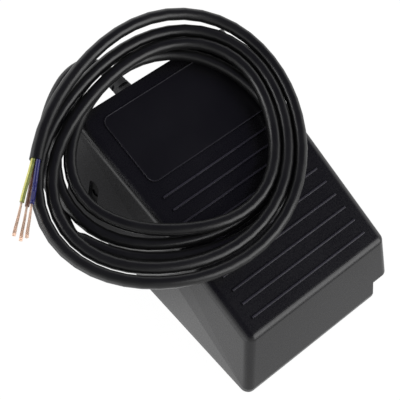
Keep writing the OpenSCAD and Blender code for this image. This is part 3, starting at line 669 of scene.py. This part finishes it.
class FootSwitchLook(bpy.types.PropertyGroup):
    pedal_colour: bpy.props.FloatVectorProperty(
        name="Pedal Colour", description="Colour of the pedal's moulded plastic",
        subtype="COLOR", size=3, default=PEDAL_BLACK, min=0, max=1)
    pedal_roughness: bpy.props.FloatProperty(
        name="Pedal Roughness", description="How matt the pedal is",
        subtype="FACTOR", default=0.3, min=0.1, max=1)
    sheath_colour: bpy.props.FloatVectorProperty(
        name="Sheath Colour", description="Colour of the cable's sheath",
        subtype="COLOR", size=3, default=SHEATH_BLACK, min=0, max=1)
    sheath_roughness: bpy.props.FloatProperty(
        name="Sheath Roughness", description="How matt the cable's sheath is",
        subtype="FACTOR", default=0.34, min=0.1, max=1)
    cable_diameter: bpy.props.FloatProperty(
        name="Cable Diameter", description="Diameter of the cable's sheath",
        subtype="DISTANCE", unit="LENGTH", default=0.0056, min=0.004, max=0.007)
    core_diameter: bpy.props.FloatProperty(
        name="Core Diameter", description="Diameter of one insulated core",
        subtype="DISTANCE", unit="LENGTH", default=0.0019, min=0.001, max=0.003)
    strand_count: bpy.props.IntProperty(
        name="Strands", description="Number of copper strands in one core",
        default=12, min=7, max=24)
    floor_shade: bpy.props.FloatProperty(
        name="Floor Shade", description="How much of the shadow the floor shows",
        subtype="FACTOR", default=0.06, min=0, max=1)


def look():
    return bpy.context.scene.foot_switch_look


# One operator for each piece or group of pieces

class FOOTSWITCH_OT_camera(bpy.types.Operator):
    """Places the camera at the photograph's viewing angle"""
    bl_idname = "footswitch.camera"
    bl_label = "Camera"

    def execute(self, context):
        azimuth, elevation, roll = (math.radians(a) for a in (AZIMUTH, ELEVATION, ROLL))
        back = Vector((math.sin(azimuth) * math.cos(elevation),
                       -math.cos(azimuth) * math.cos(elevation), math.sin(elevation)))
        flat = Vector((math.cos(azimuth), math.sin(azimuth), 0))
        rise = back.cross(flat)
        right = flat * math.cos(roll) + rise * math.sin(roll)
        up = rise * math.cos(roll) - flat * math.sin(roll)
        place = right * CAMERA_RIGHT + up * CAMERA_UP + back * CAMERA_BACK + Vector(CAMERA_AIM)
        turn = Matrix((right, up, back)).transposed().to_4x4()
        data = bpy.data.cameras.new("camera")
        data.sensor_width = SENSOR_WIDTH
        data.lens = FOCAL_PIXELS / PICTURE_PIXELS * SENSOR_WIDTH
        data.clip_start = 0.01
        camera = bpy.data.objects.new("camera", data)
        camera.matrix_world = Matrix.Translation(place * MM) @ turn
        context.scene.collection.objects.link(camera)
        context.scene.camera = camera
        return {"FINISHED"}


class FOOTSWITCH_OT_cable(bpy.types.Operator):
    """Lays the sheathed cable from the strain relief through the whole coil"""
    bl_idname = "footswitch.cable"
    bl_label = "Cable"

    def execute(self, context):
        points = cable_points()
        data = bpy.data.curves.new("cable", "CURVE")
        data.dimensions = "3D"
        data.bevel_depth = look().cable_diameter / 2
        data.bevel_resolution = 8
        data.use_fill_caps = True
        spline = data.splines.new("POLY")
        spline.points.add(len(points) - 1)
        for place, point in zip(spline.points, points):
            place.co = (*point, 1)
        spline.use_smooth = True
        cable = bpy.data.objects.new("cable", data)
        context.scene.collection.objects.link(cable)
        data.materials.append(sheath_material())
        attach(cable, "base")
        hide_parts("cable_run", "cable_coil")
        with_pieces = make_core_ends()
        return {"FINISHED"}


class FOOTSWITCH_OT_pedal(bpy.types.Operator):
    """Finishes the pedal and its blank label plate"""
    bl_idname = "footswitch.pedal"
    bl_label = "Pedal"

    def execute(self, context):
        colour = look().pedal_colour
        plastic = moulded_plastic("pedal plastic", colour, look().pedal_roughness, 1500.0, 0.025)
        # Painted shade in the pockets round the ends of the pin
        paint_pocket_shade(plastic)
        dress(plastic, "pedal")
        dress(moulded_plastic("label plate plastic", colour, 0.33, 1800.0), "label_plate")
        make_rib_crowns()
        make_plate_bead()
        return {"FINISHED"}


class FOOTSWITCH_OT_base(bpy.types.Operator):
    """Finishes the tray, the clamp, the strain relief and the rubber pieces"""
    bl_idname = "footswitch.base"
    bl_label = "Base"

    def execute(self, context):
        dress(moulded_plastic("tray plastic", (0.010, 0.010, 0.012), 0.5, 1200.0, 0.08),
              "base_tray", "cable_clamp")
        dress(moulded_plastic("black rubber", (0.014, 0.014, 0.015), 0.75, 1500.0, 0.12),
              "foot_front_left", "foot_front_right", "foot_rear_left", "foot_rear_right",
              "stop_pad_left", "stop_pad_right", "strain_relief")
        dress(sheath_material(), "cable_entry")
        return {"FINISHED"}


class FOOTSWITCH_OT_steel(bpy.types.Operator):
    """Finishes the pin, clips, spring and screws"""
    bl_idname = "footswitch.steel"
    bl_label = "Steel Pieces"

    def execute(self, context):
        # Painted shade: the pin is near black so the pockets it shows through read as dark holes
        dress(metal("near-black pin steel for painted pocket shade", (0.02, 0.02, 0.022), 0.4, (6, 1, 1)), "pivot_pin")
        dress(metal("spring steel", (0.5, 0.5, 0.5), 0.35), "pin_clips", "return_spring")
        dress(metal("zinc plate", (0.7, 0.71, 0.72), 0.3, scale=900.0),
              "switch_screws", "clamp_screws", "earth_screw")
        return {"FINISHED"}


class FOOTSWITCH_OT_switch(bpy.types.Operator):
    """Finishes the snap switch, its terminals, the connectors and the leads"""
    bl_idname = "footswitch.switch"
    bl_label = "Switch and Leads"

    def execute(self, context):
        dress(moulded_plastic("switch body plastic", (0.02, 0.02, 0.021), 0.4), "switch_body")
        dress(moulded_plastic("switch cover plastic", (0.05, 0.05, 0.052), 0.45), "switch_cover")
        dress(moulded_plastic("plunger plastic", (0.5, 0.04, 0.03), 0.35), "switch_plunger")
        dress(metal("lever steel", (0.72, 0.72, 0.71), 0.25, (1, 8, 1)), "switch_lever")
        dress(metal("stamped brass", (0.8, 0.62, 0.3), 0.28),
              "terminal_common", "terminal_open", "terminal_closed")
        dress(moulded_plastic("connector plastic", (0.5, 0.035, 0.03), 0.3),
              "connector_brown", "connector_blue")
        dress(moulded_plastic("terminal plastic", (0.62, 0.6, 0.54), 0.45), "earth_terminal")
        dress(moulded_plastic("brown lead", (0.16, 0.055, 0.025), 0.35), "lead_brown")
        dress(moulded_plastic("blue lead", (0.02, 0.06, 0.26), 0.35), "lead_blue")
        dress(moulded_plastic("earth lead", (0.3, 0.45, 0.05), 0.35), "lead_earth")
        return {"FINISHED"}


class FOOTSWITCH_OT_stage(bpy.types.Operator):
    """Sets the white floor, the surroundings and the soft lamps"""
    bl_idname = "footswitch.stage"
    bl_label = "Stage"

    def execute(self, context):
        context.scene.view_settings.view_transform = "Standard"
        make_world(context.scene)
        make_floor(context.scene)
        for name, (place, size, power) in LAMPS.items():
            make_lamp(context.scene, name, place, size, power)
        return {"FINISHED"}


class FOOTSWITCH_PT_panel(bpy.types.Panel):
    """Lists the foot switch's looks and operators"""
    bl_idname = "FOOTSWITCH_PT_panel"
    bl_label = "Foot Switch"
    bl_space_type = "VIEW_3D"
    bl_region_type = "UI"
    bl_category = "Foot Switch"

    def draw(self, context):
        for name in FootSwitchLook.__annotations__:
            self.layout.prop(context.scene.foot_switch_look, name)
        for operator in OPERATORS:
            self.layout.operator(operator.bl_idname)


OPERATORS = (
    FOOTSWITCH_OT_camera, FOOTSWITCH_OT_cable, FOOTSWITCH_OT_pedal, FOOTSWITCH_OT_base,
    FOOTSWITCH_OT_steel, FOOTSWITCH_OT_switch, FOOTSWITCH_OT_stage,
)
CLASSES = (FootSwitchLook,) + OPERATORS + (FOOTSWITCH_PT_panel,)


def register():
    for cls in CLASSES:
        bpy.utils.register_class(cls)
    bpy.types.Scene.foot_switch_look = bpy.props.PointerProperty(type=FootSwitchLook)


def unregister():
    del bpy.types.Scene.foot_switch_look
    for cls in reversed(CLASSES):
        bpy.utils.unregister_class(cls)


def main():
    register()
    bpy.ops.footswitch.camera()
    bpy.ops.footswitch.cable()
    bpy.ops.footswitch.pedal()
    bpy.ops.footswitch.base()
    bpy.ops.footswitch.steel()
    bpy.ops.footswitch.switch()
    bpy.ops.footswitch.stage()


if __name__ == "__main__":
    main()
